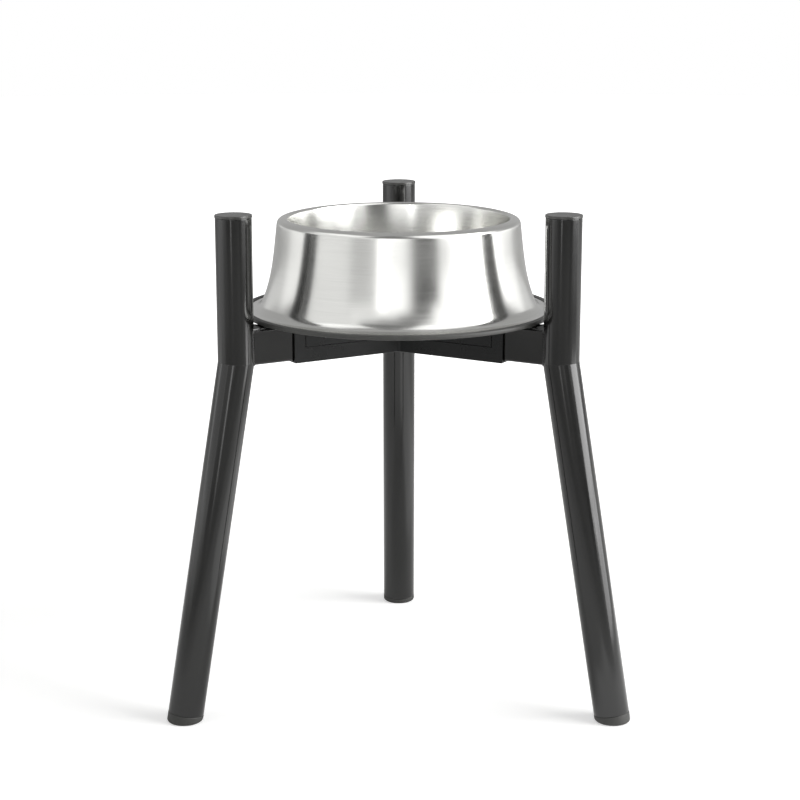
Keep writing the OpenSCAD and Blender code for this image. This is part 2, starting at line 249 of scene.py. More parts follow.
def join(tree, shader, base, tint, gloss, normal):
    """Joins a finish to its shader: a base colour whose brightness follows tint, a roughness that
    follows gloss, and a bumped normal. Tint and gloss are each a texture's output, the range that
    it stays in and the range that it is stretched to."""
    value, rough = (
        add(tree, "ShaderNodeMapRange", {"Value": texture, "From Min": low, "From Max": high,
                                         "To Min": start, "To Max": end}).outputs["Result"]
        for texture, (low, high), (start, end) in (tint, gloss))
    tone = add(tree, "ShaderNodeHueSaturation", {"Color": (*base, 1.0), "Value": value})
    tree.links.new(tone.outputs["Color"], shader.inputs["Base Color"])
    tree.links.new(rough, shader.inputs["Roughness"])
    tree.links.new(normal, shader.inputs["Normal"])


def powder_coat(look):
    """Polyester powder coat on steel. It is sprayed dry and baked until it flows, which leaves a
    satin gloss with a faint orange peel about 2 mm across and a trace of grit."""
    material, tree, shader = blank("baked_powder_coat", IOR=1.54)
    place = add(tree, "ShaderNodeTexCoord").outputs["Object"]
    peel = add(tree, "ShaderNodeTexNoise",
               {"Vector": place, "Scale": per_mm(2.2), "Detail": 1.5, "Roughness": 0.4})
    grit = add(tree, "ShaderNodeTexNoise",
               {"Vector": place, "Scale": per_mm(0.5), "Detail": 2.0, "Roughness": 0.6})
    cloud = add(tree, "ShaderNodeTexNoise",
                {"Vector": place, "Scale": per_mm(36.0), "Detail": 4.0, "Roughness": 0.55})
    wave = add(tree, "ShaderNodeBump",
               {"Height": peel.outputs["Fac"], "Strength": 0.22, "Distance": 0.05 * MM})
    fine = add(tree, "ShaderNodeBump", {"Height": grit.outputs["Fac"], "Strength": 0.16,
                                        "Distance": 0.02 * MM, "Normal": wave.outputs["Normal"]})
    join(tree, shader, look.coat, (cloud.outputs["Fac"], NOISE, (0.88, 1.12)),
         (cloud.outputs["Fac"], NOISE, (0.1, 0.15)), fine.outputs["Normal"])
    return material


def moulded(name, base, grain, depth, rough, shine=0.5, flow_size=24.0):
    """Moulded plastic. The mould is spark-eroded, so the skin is an even fine grain of pits, and
    the flow of the melt leaves it a little glossier in some places than in others. Grain, depth and
    flow size are in millimetres. A coarse skin keeps less shine than a smooth one."""
    material, tree, shader = blank(name, IOR=1.5, Specular_IOR_Level=shine)
    place = add(tree, "ShaderNodeTexCoord").outputs["Object"]
    pits = add(tree, "ShaderNodeTexVoronoi", {"Vector": place, "Scale": per_mm(grain)},
               feature="SMOOTH_F1")
    flow = add(tree, "ShaderNodeTexNoise",
               {"Vector": place, "Scale": per_mm(flow_size), "Detail": 3.0})
    skin = add(tree, "ShaderNodeBump", {"Height": pits.outputs["Distance"], "Strength": 0.35,
                                        "Distance": depth * MM})
    join(tree, shader, base, (flow.outputs["Fac"], NOISE, (0.86, 1.14)),
         (flow.outputs["Fac"], NOISE, (rough - 0.05, rough + 0.05)), skin.outputs["Normal"])
    return material


def rubber(name, base, rough):
    """Moulded rubber. Carbon black and chalk in it leave a dull, slightly mottled skin with a
    bloom of lighter dust and a fine grain."""
    material, tree, shader = blank(name, IOR=1.52)
    place = add(tree, "ShaderNodeTexCoord").outputs["Object"]
    bloom = add(tree, "ShaderNodeTexNoise",
                {"Vector": place, "Scale": per_mm(7.0), "Detail": 5.0, "Roughness": 0.65})
    grain = add(tree, "ShaderNodeTexNoise",
                {"Vector": place, "Scale": per_mm(0.45), "Detail": 2.0})
    skin = add(tree, "ShaderNodeBump", {"Height": grain.outputs["Fac"], "Strength": 0.4,
                                        "Distance": 0.05 * MM})
    join(tree, shader, base, (bloom.outputs["Fac"], NOISE, (0.8, 1.2)),
         (bloom.outputs["Fac"], NOISE, (rough - 0.08, rough + 0.06)), skin.outputs["Normal"])
    return material


def stainless(look):
    """Stainless steel sheet, pressed and then polished as it spins. The wheel leaves hair lines
    round the bowl, under a third of a millimetre apart, drawn here at 0.5 mm so that they show, and
    the lines soften each reflection."""
    material, tree, shader = blank("polished_stainless_sheet", Metallic=1.0)
    place = add(tree, "ShaderNodeTexCoord").outputs["Object"]
    split = add(tree, "ShaderNodeSeparateXYZ", {"Vector": place})
    level = add(tree, "ShaderNodeCombineXYZ", {"X": split.outputs["X"], "Y": split.outputs["Y"]})
    out = add(tree, "ShaderNodeVectorMath", {0: level.outputs["Vector"]}, operation="LENGTH")
    turned = add(tree, "ShaderNodeCombineXYZ", {"X": out.outputs["Value"], "Y": split.outputs["Z"]})
    # A little of the place itself is added, so that a line breaks off somewhere round the bowl
    drift = add(tree, "ShaderNodeVectorMath",
                {0: place, 1: (0.012, 0.012, 0.0)}, operation="MULTIPLY")
    path = add(tree, "ShaderNodeVectorMath",
               {0: turned.outputs["Vector"], 1: drift.outputs["Vector"]}, operation="ADD")
    hair = add(tree, "ShaderNodeTexNoise", {"Vector": path.outputs["Vector"],
                                            "Scale": per_mm(0.5), "Detail": 2.0, "Roughness": 0.6})
    haze = add(tree, "ShaderNodeTexNoise",
               {"Vector": place, "Scale": per_mm(28.0), "Detail": 4.0, "Roughness": 0.6})
    line = add(tree, "ShaderNodeBump", {"Height": hair.outputs["Fac"], "Strength": 0.04,
                                        "Distance": 0.01 * MM})
    both = add(tree, "ShaderNodeMath", {0: hair.outputs["Fac"], 1: haze.outputs["Fac"]},
               operation="ADD")
    join(tree, shader, look.steel, (hair.outputs["Fac"], NOISE, (0.96, 1.04)),
         (both.outputs["Value"], (0.7, 1.3), (0.18, 0.24)), line.outputs["Normal"])
    return material


def plated(name, base, rough, spot):
    """Turned or plated metal. The plate grows in small crystals, so the shine is slightly uneven
    from spot to spot, and a spot's size is in millimetres."""
    material, tree, shader = blank(name, Metallic=1.0)
    place = add(tree, "ShaderNodeTexCoord").outputs["Object"]
    crystal = add(tree, "ShaderNodeTexNoise",
                  {"Vector": place, "Scale": per_mm(spot), "Detail": 3.0, "Roughness": 0.6})
    skin = add(tree, "ShaderNodeBump", {"Height": crystal.outputs["Fac"], "Strength": 0.1,
                                        "Distance": 0.02 * MM})
    join(tree, shader, base, (crystal.outputs["Fac"], NOISE, (0.9, 1.1)),
         (crystal.outputs["Fac"], NOISE, (rough - 0.06, rough + 0.06)), skin.outputs["Normal"])
    return material


FINISHES = {}


def finish_of(slot):
    """The material of a slot of the record, made the first time that a piece asks for it."""
    look = bpy.context.scene.feeder_colours
    makers = {
        "powder_coated_steel": lambda: powder_coat(look),
        "black_nylon": lambda: moulded("textured_nylon", look.nylon, grain=0.6, depth=0.04,
                                       rough=0.3, shine=0.27),
        "black_acetal": lambda: moulded("moulded_acetal", look.acetal, grain=0.4, depth=0.02,
                                        rough=0.33),
        "black_polypropylene": lambda: moulded("moulded_polypropylene", look.cap, grain=0.5,
                                               depth=0.04, rough=0.3, shine=0.8, flow_size=9.0),
        "black_rubber": lambda: rubber("moulded_foot_rubber", look.foot, rough=0.62),
        "grey_rubber": lambda: rubber("moulded_base_rubber", look.base, rough=0.55),
        "stainless_steel": lambda: stainless(look),
        "zinc_plated_steel": lambda: plated("bright_zinc_plate", look.zinc, rough=0.3, spot=0.8),
        "brass": lambda: plated("turned_brass", look.brass, rough=0.28, spot=0.6),
    }
    if slot not in FINISHES:
        FINISHES[slot] = makers[slot]()
    return FINISHES[slot]


# Surfaces


def around(sides):
    """Angles of one turn, without its last point."""
    return np.linspace(0, 2 * np.pi, sides, endpoint=False)


def turn(points, azimuth):
    """Points turned about the upright axis by an azimuth in degrees."""
    c, s = math.cos(math.radians(azimuth)), math.sin(math.radians(azimuth))
    return points @ np.array([[c, s, 0], [-s, c, 0], [0, 0, 1]])


def rounded(corners, steps=6, closed=False):
    """Profile through corners (radius, height, edge). Each corner is a parabola that starts and
    ends one edge away from the corner, with a further point on each side that keeps the flats
    flat. An open profile keeps its two ends as they are."""
    c = np.array(corners, float)
    p, edge = c[:, :2], c[:, 2:].copy()
    if not closed:
        edge[[0, -1]] = 0
    unit = lambda v: v / np.maximum(np.linalg.norm(v, axis=1, keepdims=True), 1e-12)
    back, on = unit(np.roll(p, 1, 0) - p), unit(np.roll(p, -1, 0) - p)
    t = np.linspace(0, 1, steps)[:, None, None]
    arc = (1 - t) ** 2 * (p + back * edge) + 2 * t * (1 - t) * p + t ** 2 * (p + on * edge)
    every = np.concatenate([(p + 1.5 * back * edge)[None], arc, (p + 1.5 * on * edge)[None]])
    line = every.transpose(1, 0, 2).reshape(-1, 2)
    step = np.linalg.norm(line - np.roll(line, 1, 0), axis=1)
    keep = step > 1e-9
    keep[0] = keep[0] or not closed
    return line[keep]


def lathe(profile, sides):
    """Rings of a profile (radius, height) turned about the upright axis."""
    a = around(sides)
    r, z = profile[:, :1], profile[:, 1:]
    return np.stack([r * np.cos(a), r * np.sin(a), z + 0 * a], -1)


def shell(points, loop=False):
    """Vertices, quads and triangles of a closed surface of rings. The rings join last to first
    where loop is set. Otherwise the first and the last ring are poles, of one vertex each."""
    rows, cols = points.shape[:2]
    on = lambda ids: np.roll(ids, -1, -1)
    if loop:
        upper = np.arange(rows * cols).reshape(rows, cols)
        lower = np.roll(upper, -1, 0)
        tris = np.zeros((0, 3), int)
        verts = points.reshape(-1, 3)
    else:
        ids = 1 + np.arange((rows - 2) * cols).reshape(rows - 2, cols)
        upper, lower = ids[:-1], ids[1:]
        first, last, end = ids[0], ids[-1], (rows - 2) * cols + 1
        tris = np.concatenate([np.stack([0 * first, on(first), first], -1),
                               np.stack([0 * last + end, last, on(last)], -1)])
        verts = np.concatenate([points[:1, 0], points[1:-1].reshape(-1, 3), points[-1:, 0]])
    quads = np.stack([upper, on(upper), on(lower), lower], -1).reshape(-1, 4)
    fans = np.concatenate([quads[:, [0, 1, 2]], quads[:, [0, 2, 3]], tris])
    a, b, c = (verts[fans[:, k]] for k in range(3))
    if np.einsum("ij,ij->", a, np.cross(b, c)) < 0:
        quads, tris = quads[:, ::-1], tris[:, ::-1]
    return verts, quads, tris


def make_piece(name, shells, body, slot, *nodes):
    """A piece of one or more closed shells, in millimetres, that rides on a body, takes its finish
    from a slot and stands for the given nodes."""
    starts = np.cumsum([0] + [len(s[0]) for s in shells])
    verts = np.concatenate([s[0] for s in shells]) * MM
    quads = np.concatenate([s[1] + k for s, k in zip(shells, starts)])
    tris = np.concatenate([s[2] + k for s, k in zip(shells, starts)])
    mesh = bpy.data.meshes.new(name)
    mesh.from_pydata(verts.tolist(), [], quads.tolist() + tris.tolist())
    mesh.polygons.foreach_set("use_smooth", np.ones(len(mesh.polygons), bool))
    mesh.set_sharp_from_angle(angle=math.radians(SHARP))
    mesh.materials.append(finish_of(slot))
    piece = bpy.data.objects.new(name, mesh)
    bpy.context.scene.collection.objects.link(piece)
    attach(piece, body)
    if nodes:
        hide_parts(*nodes)
    return piece


def dress(slot, *nodes):
    """Gives solids that keep their shape the finish of their slot."""
    for node in nodes:
        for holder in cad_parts[node].material_slots:
            holder.material = finish_of(slot)


def in_mm(group):
    """The lengths of a property group in millimetres, and its angles and counts as they are."""
    values = {}
    for key in group.bl_rna.properties.keys():
        prop = group.bl_rna.properties[key]
        if prop.type in {"FLOAT", "INT"}:
            scale = 1 / MM if prop.unit == "LENGTH" else 1
            values[key] = getattr(group, key) * scale
    return SimpleNamespace(**values)


def tube_rings(sizes, length, low_slope, high_slope):
    """Rings of a tube wall along +Z. The section is a thin rounded rectangle from bore to outside,
    and each end is a plane whose height is a slope times x, so a ring near an end follows it."""
    bore = TUBE_R - sizes.wall
    low, high = (sizes.mitre_edge if slope else sizes.tube_edge
                 for slope in (low_slope, high_slope))
    p = rounded([(TUBE_R, 0, low), (TUBE_R, length, high), (bore, length, high), (bore, 0, low)],
                closed=True)
    a = around(sizes.sides)
    r, s = p[:, :1], p[:, 1:]
    x, y = r * np.cos(a), r * np.sin(a)
    return np.stack([x, y, s + np.where(s < length / 2, low_slope, high_slope) * x], -1)


def lean_out(points, sizes):
    """Points of a lower leg, drawn along +Z with the bend at the origin, leaned out by the splay
    and put at the bend."""
    c, s = math.cos(sizes.splay), math.sin(sizes.splay)
    x, y, z = np.moveaxis(points, -1, 0)
    return np.stack([POST_AXIS + c * x - s * z, y, sizes.bend + s * x + c * z], -1)


class FEEDER_OT_tubes(Operator):
    """Builds the posts and the lower legs, mitred where they meet at the bend"""
    bl_idname = "feeder.tubes"
    bl_label = "Leg tubes"

    def execute(self, context):
        sizes = in_mm(context.scene.feeder_tubes)
        mitre = math.tan(sizes.splay / 2)
        leg_len = sizes.bend / math.cos(sizes.splay)
        post = tube_rings(sizes, TUBE_TOP - sizes.bend, mitre, 0)
        post = post + [POST_AXIS, 0, sizes.bend]
        lower = tube_rings(sizes, leg_len - sizes.foot, 0, -mitre)
        lower = lean_out(lower - [0, 0, leg_len - sizes.foot], sizes)
        for leg, azimuth in LEGS.items():
            for name, rings in (("post_tube_", post), ("leg_tube_", lower)):
                node = name.replace("_tube", "") + leg
                make_piece(name + leg, [shell(turn(rings, azimuth), loop=True)],
                           leg + "_leg", "powder_coated_steel", node)
        return {"FINISHED"}


class FEEDER_OT_caps(Operator):
    """Builds the caps in the tops of the posts"""
    bl_idname = "feeder.caps"
    bl_label = "Post caps"

    def execute(self, context):
        s = in_mm(context.scene.feeder_tubes)
        flange = TUBE_R + s.cap_lip
        stem = TUBE_R - s.wall - s.stem_gap
        bore = stem - s.stem_wall
        end = TUBE_TOP - s.cap_stem
        profile = rounded([
            (0, POST_TOP, 0), (flange, POST_TOP, s.cap_edge),
            (flange, TUBE_TOP, s.seam / 2), (stem, TUBE_TOP, s.seam / 2),
            (stem, end, s.stem_wall / 2), (bore, end, s.seam), (bore, TUBE_TOP, s.seam),
            (0, TUBE_TOP, 0)])
        rings = lathe(profile, s.sides) + [POST_AXIS, 0, 0]
        for leg, azimuth in LEGS.items():
            make_piece("end_cap_" + leg, [shell(turn(rings, azimuth))],
                       leg + "_leg", "black_polypropylene", "cap_" + leg)
        return {"FINISHED"}


# Two grip rings in a sole: share of the sole's radius, and share of the tread's depth
SOLE = ((0.86, 0), (0.86, 1), (0.7, 1), (0.7, 0), (0.44, 0), (0.44, 1), (0.28, 1), (0.28, 0))
# Rings in a foot's rounded lower edge
EDGE_STEPS = 9


class FEEDER_OT_feet(Operator):
    """Builds the rubber feet, level with the floor on their leaning legs"""
    bl_idname = "feeder.feet"
    bl_label = "Rubber feet"

    def execute(self, context):
        s = in_mm(context.scene.feeder_tubes)
        a = around(s.sides)
        stem = TUBE_R - s.wall - s.stem_gap
        bore = stem - s.stem_wall
        top, floor = s.foot + s.foot_stem, s.foot + s.stem_wall / 2
        # Stem and shoulder turn about the leg's axis
        upper = lathe(rounded([
            (0, floor, 0), (bore, floor, s.seam), (bore, top, s.seam),
            (stem, top, s.stem_wall / 2), (stem, s.foot, s.seam), (TUBE_R, s.foot, s.foot_seam),
            (TUBE_R, s.foot - 2 * s.foot_seam, 0)]), s.sides)
        upper = lean_out(upper - [0, 0, s.bend / math.cos(s.splay)], s)
        # The lower edge and the sole are ellipses, because the floor cuts the leg at a slant
        long = 1 / math.cos(s.splay)
        centre = POST_AXIS + (s.bend - s.foot_edge) * math.tan(s.splay)
        t = np.linspace(0, QUARTER, EDGE_STEPS)[:, None]
        inset = s.foot_edge * (1 - np.cos(t))
        edge = np.stack([centre + (TUBE_R * long - inset) * np.cos(a),
                         (TUBE_R - inset) * np.sin(a), s.foot_edge * (1 - np.sin(t)) + 0 * a], -1)
        rim = TUBE_R - s.foot_edge
        sole = rounded([(rim, 0, 0)] + [(rim * r, s.tread * z, s.tread / 4) for r, z in SOLE]
                       + [(0, 0, 0)], steps=3)[1:]
        sole = lathe(sole, s.sides) * [long, 1, 1] + [centre, 0, 0]
        rings = np.concatenate([upper, edge, sole])
        for leg, azimuth in LEGS.items():
            make_piece("rubber_foot_" + leg, [shell(turn(rings, azimuth))],
                       leg + "_leg", "black_rubber", "foot_" + leg)
        return {"FINISHED"}


# Points along a weld, and across the bulge of its section
WELD_STEPS, WELD_SECTION = 840, 11
# Share by which a ripple swells the bead, and powers of its section on the sides and on top
RIPPLE_SWELL = 0.1
SIDE_POWER, TOP_POWER = 1.3, 0.6


def weld_rings(s):
    """Rings of the bead round the end of an arm. Its path is the arm's outline laid on the round of
    the post, at even steps. A section starts on the arm, bulges over to the post as a power of a
    cosine and a sine, and closes inside the steel. The bead swells once a ripple, and on top of the
    arm it is a longer and fuller run."""
    half, middle = (ARM_TOP - ARM_LOW) / 2, (ARM_TOP + ARM_LOW) / 2
    w, e = ARM_HALF, s.arm_edge
    loop = rounded([(w, half, e), (-w, half, e), (-w, -half, e), (w, -half, e)], closed=True)
    ring = np.concatenate([loop, loop[:1]])
    way = np.concatenate([[0], np.cumsum(np.linalg.norm(np.diff(ring, axis=0), axis=1))])
    at = np.linspace(0, way[-1], WELD_STEPS, endpoint=False)
    line = np.stack([np.interp(at, way, ring[:, 0]), np.interp(at, way, ring[:, 1])], -1)
    along = np.roll(line, -1, 0) - np.roll(line, 1, 0)
    along = along / np.linalg.norm(along, axis=1, keepdims=True)
    out = np.stack([along[:, 1], -along[:, 0]], -1)
    waves = round(way[-1] / s.ripple)
    swell = 1 + RIPPLE_SWELL * np.sin(2 * np.pi * waves * at / way[-1])
    top = np.clip(out[:, 1], 0, 1)
    rise = ((s.weld + s.weld_top * top) * swell)[:, None]
    toe = (s.weld * swell + s.weld_run * top)[:, None]
    power = (SIDE_POWER - (SIDE_POWER - TOP_POWER) * top)[:, None]
    t = np.linspace(0, QUARTER, WELD_SECTION)
    sunk = s.wall / 3 + 0 * rise
    up = np.concatenate([-sunk, rise * np.sin(t) ** power, rise, -sunk], 1)
    off = np.concatenate([toe, toe * np.cos(t) ** power, -sunk, -sunk], 1)
    y = line[:, :1] + up * out[:, :1]
    z = middle + line[:, 1:] + up * out[:, 1:]
    return np.stack([POST_AXIS - np.sqrt(TUBE_R ** 2 - y ** 2) - off, y, z], -1)


class FEEDER_OT_arms(Operator):
    """Finishes the arms and their glide plugs, and lays the weld between each arm and its post"""
    bl_idname = "feeder.arms"
    bl_label = "Arms and welds"

    def execute(self, context):
        dress("powder_coated_steel", *("arm_" + leg for leg in LEGS))
        dress("black_acetal", *("glide_" + leg for leg in LEGS))
        rings = weld_rings(in_mm(context.scene.feeder_tubes))
        for leg, azimuth in LEGS.items():
            make_piece("weld_bead_" + leg, [shell(turn(rings, azimuth), loop=True)],
                       leg + "_leg", "powder_coated_steel")
        return {"FINISHED"}


class FEEDER_OT_hub(Operator):
    """Finishes the two mouldings of the hub and the inserts in them"""
    bl_idname = "feeder.hub"
    bl_label = "Hub"

    def execute(self, context):
        dress("black_nylon", "hub_base", "hub_cover")
        dress("brass", "hub_inserts")
        return {"FINISHED"}


# Points round a screw
SCREW_SIDES = 60
# Socket of a screw from its floor to its chamfered mouth: share of its width and of its depth
SOCKET = ((0, 1.15), (0.97, 1), (1, 0.96), (1, 0.12), (1.08, 0))
# Lengths along a screw in millimetres: plain shank, run-out to the core, bare core and tip
SHANK, RUN_OUT, BARE, TIP = 1.0, 0.4, 0.1, 0.4
# Roundings under the head, at the top of the shank and at its end, in millimetres
SCREW_EDGES = (0.15, 0.2, 0.1)
# Rings in a pitch, flat share at the thread's crest and root, and share of the core left at the tip
THREAD_RINGS, FLAT, TAPER = 8, 0.2, 0.9


class FEEDER_OT_screws(Operator):
    """Builds the clamp screws, with their sockets and threads"""
    bl_idname = "feeder.screws"
    bl_label = "Clamp screws"

    def execute(self, context):
        s = in_mm(context.scene.feeder_fasteners)
        a = around(SCREW_SIDES)
        low, seat = SCREW_LOW, SCREW_LOW + s.head_height
        flat = np.mod(a, np.pi / 3) - np.pi / 6
        hexagon = s.socket / 2 / np.cos(flat)
        # Socket: rings in the shape of a hexagon
        share, depth = np.array(SOCKET).T[:, :, None]
        depth = depth * s.socket_depth
        socket = np.stack([share * hexagon * np.cos(a), share * hexagon * np.sin(a),
                           low + depth + 0 * a], -1)
        outer = s.thread / 2
        core = outer - s.thread_depth
        under, inner, end = SCREW_EDGES
        neck = seat + SHANK
        head = lathe(rounded([
            (s.socket, low, 0), (s.head / 2, low, s.head_edge), (s.head / 2, seat, under),
            (outer, seat, inner), (outer, neck, end), (core, neck + RUN_OUT, 0)]), SCREW_SIDES)
        # Thread: the radius rises and falls once a pitch, and the wave turns with the angle
        z = np.arange(neck + RUN_OUT + BARE, SCREW_TOP - TIP - 2 * BARE,
                      s.pitch / THREAD_RINGS)[:, None]
        wave = 2 * np.abs(np.mod(z / s.pitch - a / (2 * np.pi), 1) - 0.5)
        r = core + s.thread_depth * np.clip((1 + 2 * FLAT) * wave - FLAT, 0, 1)
        thread = np.stack([r * np.cos(a), r * np.sin(a), z + 0 * a], -1)
        tip = lathe(np.array([(core, SCREW_TOP - TIP), (core * TAPER, SCREW_TOP), (0, SCREW_TOP)]),
                    SCREW_SIDES)
        rings = np.concatenate([socket, head, thread, tip]) + [s.axis, 0, 0]
        make_piece("clamp_screws", [shell(turn(rings, azimuth)) for azimuth in LEGS.values()],
                   "hub", "zinc_plated_steel", "hub_screws")
        return {"FINISHED"}


def arc_run(start, radius, sweep, steps):
    """Points (radius, height, heading) along an arc from a start. It turns left where the sweep is
    over 0."""
    r, z, h = start
    heads = h + sweep * np.linspace(0, 1, steps + 1)[1:]
    side = np.sign(sweep) * radius
    return np.stack([r + side * (np.sin(heads) - math.sin(h)),
                     z - side * (np.cos(heads) - math.cos(h)), heads], -1)


def line_run(start, length, steps):
    """Points (radius, height, heading) along a straight from a start."""
    r, z, h = start
    t = length * np.linspace(0, 1, steps + 1)[1:]
    return np.stack([r + t * math.cos(h), z + t * math.sin(h), h + 0 * t], -1)


def skirt_run(start, end, steps):
    """Points (radius, height, heading) along the cubic that leaves the start and meets the end
    along their headings, with tangents as long as the straight line between them."""
    a, b = np.array(start[:2]), np.array(end[:2])
    span = np.linalg.norm(b - a)
    ta = span * np.array([math.cos(start[2]), math.sin(start[2])])
    tb = span * np.array([math.cos(end[2]), math.sin(end[2])])
    t = np.linspace(0, 1, steps + 1)[1:, None]
    u = 1 - t
    point = (1 + 2 * t) * u * u * a + t * u * u * ta + t * t * (3 - 2 * t) * b - t * t * u * tb
    way = 6 * t * u * (b - a) + u * (1 - 3 * t) * ta + t * (3 * t - 2) * tb
    return np.column_stack([point, np.arctan2(way[:, 1], way[:, 0])])


# Points round the edge of the bowl's sheet, with one at each end that the faces already have
SHEET_STEPS = 8


class FEEDER_OT_bowl(Operator):
    """Builds the bowl from the path of its sheet: floor, wall, bead, brim, skirt and flange"""
    bl_idname = "feeder.bowl"
    bl_label = "Bowl"

    def execute(self, context):
        s = in_mm(context.scene.feeder_bowl)
        floor = BOWL_LOW + s.sheet
        rise = QUARTER - s.wall_lean
        wall = BRIM_TOP - floor - (s.corner + s.bead) * (1 - math.cos(rise))
        wall = wall / math.sin(rise)
        flat = s.mouth - s.corner * math.sin(rise) - wall * math.cos(rise)
        flare_at = (FLANGE_R - s.flange - s.flare * math.cos(s.flare_lean),
                    floor + s.flare * (1 - math.sin(s.flare_lean)), s.flare_lean - QUARTER)
        # Runs of the path from the middle of the floor outwards, each with its number of steps
        path = np.array([[0, floor, 0]])
        for run, lengths, steps in (
                (line_run, (flat,), 12),
                (arc_run, (s.corner, rise), 26),
                (line_run, (wall,), 14),
                (arc_run, (s.bead, -rise - s.brim_slope), 24),
                (line_run, (s.brim,), 3),
                (arc_run, (s.brim_edge, s.brim_slope + s.skirt_lean - QUARTER), 20),
                (skirt_run, (flare_at,), 44),
                (arc_run, (s.flare, QUARTER - s.flare_lean), 20),
                (line_run, (s.flange - s.sheet / 2,), 2)):
            path = np.concatenate([path, run(path[-1], *lengths, steps)])
        # The underside is one sheet below the path, and the edge of the sheet is a half circle
        r, z, h = path.T
        under = np.stack([r + s.sheet * np.sin(h), z - s.sheet * np.cos(h)], -1)[::-1]
        t = np.linspace(-QUARTER, QUARTER, SHEET_STEPS)[1:-1]
        edge = np.stack([r[-1] + s.sheet / 2 * np.cos(t),
                         z[-1] - s.sheet / 2 - s.sheet / 2 * np.sin(t)], -1)
        section = np.concatenate([path[:, :2], edge, under])
        make_piece("pressed_bowl", [shell(lathe(section, s.sides))], "bowl", "stainless_steel",
                   "bowl")
        return {"FINISHED"}


# Rounding of the edges of a grip groove, in millimetres
GROOVE_EDGE = 0.2


class FEEDER_OT_base(Operator):
    """Builds the rubber base under the bowl, with its lip and its grip grooves"""
    bl_idname = "feeder.base"
    bl_label = "Rubber base"

    def execute(self, context):
        s = in_mm(context.scene.feeder_bowl)
        lip = FLANGE_R + s.lip_gap
        pitch = HUB_REACH / (s.grooves + 1)
        k = np.arange(s.grooves, 0, -1)
        deep = SEAT + s.groove_depth
        grooves = np.stack([
            np.stack([k * pitch + wide, height + 0 * k, GROOVE_EDGE + 0 * k], -1)
            for wide, height in ((s.groove, SEAT), (s.groove, deep), (0, deep), (0, SEAT))],
            1).reshape(-1, 3)
        profile = rounded([
            (0, BOWL_LOW, 0), (lip, BOWL_LOW, s.lip_gap), (lip, LIP_TOP, s.lip_gap),
            (BASE_R, LIP_TOP, s.lip_edge), (BASE_R, SEAT, s.lip_edge), *grooves.tolist(),
            (0, SEAT, 0)])
        make_piece("bowl_base_ring", [shell(lathe(profile, s.sides))], "bowl", "grey_rubber",
                   "bowl_base")
        return {"FINISHED"}


# Stage


# Panels of the studio that reflections show, laid one over the other: bearing to the right of the
# camera, half width and fade, highest elevation and fade, all in degrees, and brightness
PANELS = (
    (0.0, 150.0, 15.0, 5.0, 7.0, 0.85),
    (180.0, 25.0, 12.0, 14.0, 10.0, 0.5),
    (-75.0, 34.0, 8.0, 60.0, 10.0, 1.5),
    (-104.0, 8.0, 4.0, 38.0, 8.0, 0.46),
    (-71.0, 25.0, 3.0, 40.0, 12.0, 0.1),
    (58.0, 40.0, 5.0, 72.0, 10.0, 1.7),
    (-8.0, 24.0, 8.0, 80.0, 10.0, 0.25),
    (-31.0, 11.0, 3.0, 31.0, 5.0, 1.2),
    (-16.0, 12.0, 6.0, 29.0, 6.0, 1.15),
    (-31.0, 11.0, 3.0, 14.0, 10.0, 0.75),
    (0.0, 3.0, 14.0, 22.0, 10.0, 1.8),
    (0.0, 8.0, 10.0, 1.0, 3.0, 1.15),
    (22.0, 5.0, 6.0, 28.0, 18.0, 0.25),
    (25.0, 9.0, 4.0, 15.0, 8.0, 0.1),
    (36.0, 22.0, 4.0, 1.0, 2.0, 0.5),
    (112.0, 12.0, 12.0, 9.0, 6.0, 1.6),
    (-106.0, 8.0, 12.0, 9.0, 6.0, 1.3),
)
# Brightness of the room round the panels
ROOM = 0.48

# Painted shade and painted glow on the floor, which only reflections show, laid in the same way but
# with the furthest distance and its fade in metres: how much of the floor's own brightness is left
# under the painted shade, and how much painted glow is added to it
PAINTED_REFLECTION_SHADE = (
    (0.0, 28.0, 18.0, 6.5, 0.5, 0.74),
    (64.0, 22.0, 14.0, 6.5, 0.5, 0.38),
    (0.0, 85.0, 8.0, 1.35, 0.25, 0.58),
    (0.0, 180.0, 1.0, 0.75, 0.2, 1.0),
)
PAINTED_REFLECTION_GLOW = (
    (-88.0, 14.0, 20.0, 6.5, 0.5, 0.5),
    (0.0, 180.0, 1.0, 0.85, 0.35, 0.0),
    (0.0, 180.0, 1.0, 0.4, 0.25, 0.22),
    (102.0, 24.0, 22.0, 0.38, 0.2, 0.7),
    (44.0, 18.0, 14.0, 0.44, 0.12, 0.75),
    (0.0, 180.0, 1.0, 0.1, 0.09, 0.05),
)

# Upright lamps: bearing to the right of the camera in degrees, then distance, height, width and
# length in metres, watts, and whether the lamp lights matt surfaces or shows only as a reflection
LAMPS = {
    "key_panel": (76.5, 2.86, 1.76, 2.35, 3.5, 150.0, True),
    "left_panel": (-71.0, 2.6, 1.61, 2.6, 3.2, 26.0, True),
    "low_strip": (79.0, 0.76, 0.062, 0.42, 0.12, 0.5, False),
    "front_strip": (-14.0, 2.3, 0.66, 0.24, 1.3, 2.5, True),
}

# Floor: number of rings and of sides, and the distances in metres between which it turns white
FLOOR_RINGS, FLOOR_SIDES = 24, 64
NEAR, FAR = 0.3, 1.6

# Camera: width of its sensor in millimetres, and how far it sees in metres
SENSOR, SIGHT = 36.0, 50.0


def bearing_of(tree, place):
    """Bearing of a place or a direction, to the right of the camera's side of the stand."""
    split = add(tree, "ShaderNodeSeparateXYZ", {"Vector": place})
    ahead = add(tree, "ShaderNodeMath", {0: split.outputs["Y"], 1: -1.0}, operation="MULTIPLY")
    bearing = add(tree, "ShaderNodeMath",
                  {0: split.outputs["X"], 1: ahead.outputs["Value"]}, operation="ARCTAN2")
    return split, bearing.outputs["Value"]


